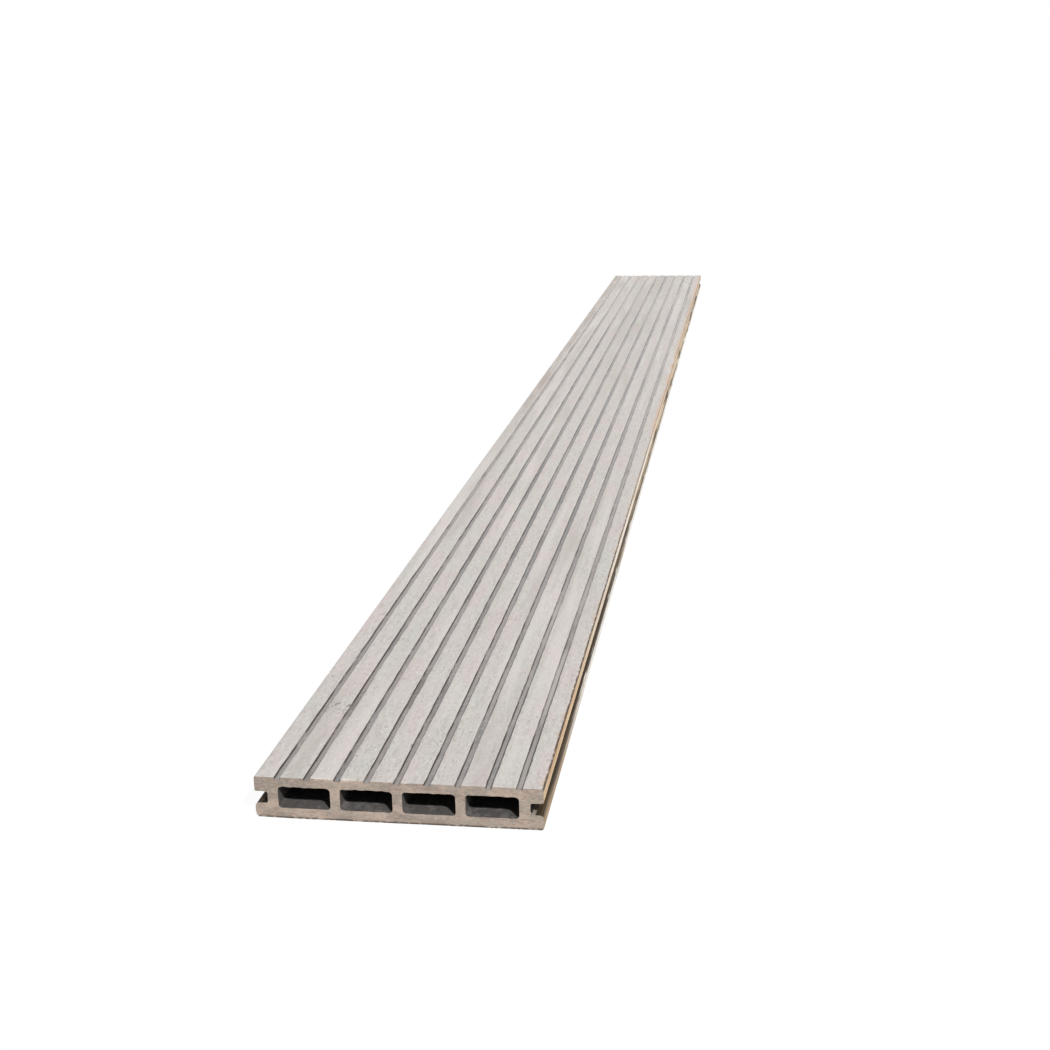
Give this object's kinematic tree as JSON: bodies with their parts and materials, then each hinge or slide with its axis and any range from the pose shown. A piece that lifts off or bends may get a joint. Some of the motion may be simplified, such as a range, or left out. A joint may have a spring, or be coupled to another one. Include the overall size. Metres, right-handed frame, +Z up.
{
  "type": "decking board",
  "caption": "Hollow extruded wood-plastic composite decking board with a grooved walking face and a clip slot along each long edge.",
  "frame": {"origin": "middle of the underside, on the surface that the board lies on", "axes": "+Z up out of the walking face, +Y along the board's length, X across its width"},
  "size_m": [0.145, 2, 0.022],
  "materials": {
    "composite": "brushed wood-plastic composite, matt, weathered light grey; sawn ends warmer beige"
  },
  "bodies": {
    "root": {"decking_board": "composite"}
  },
  "joints": []
}
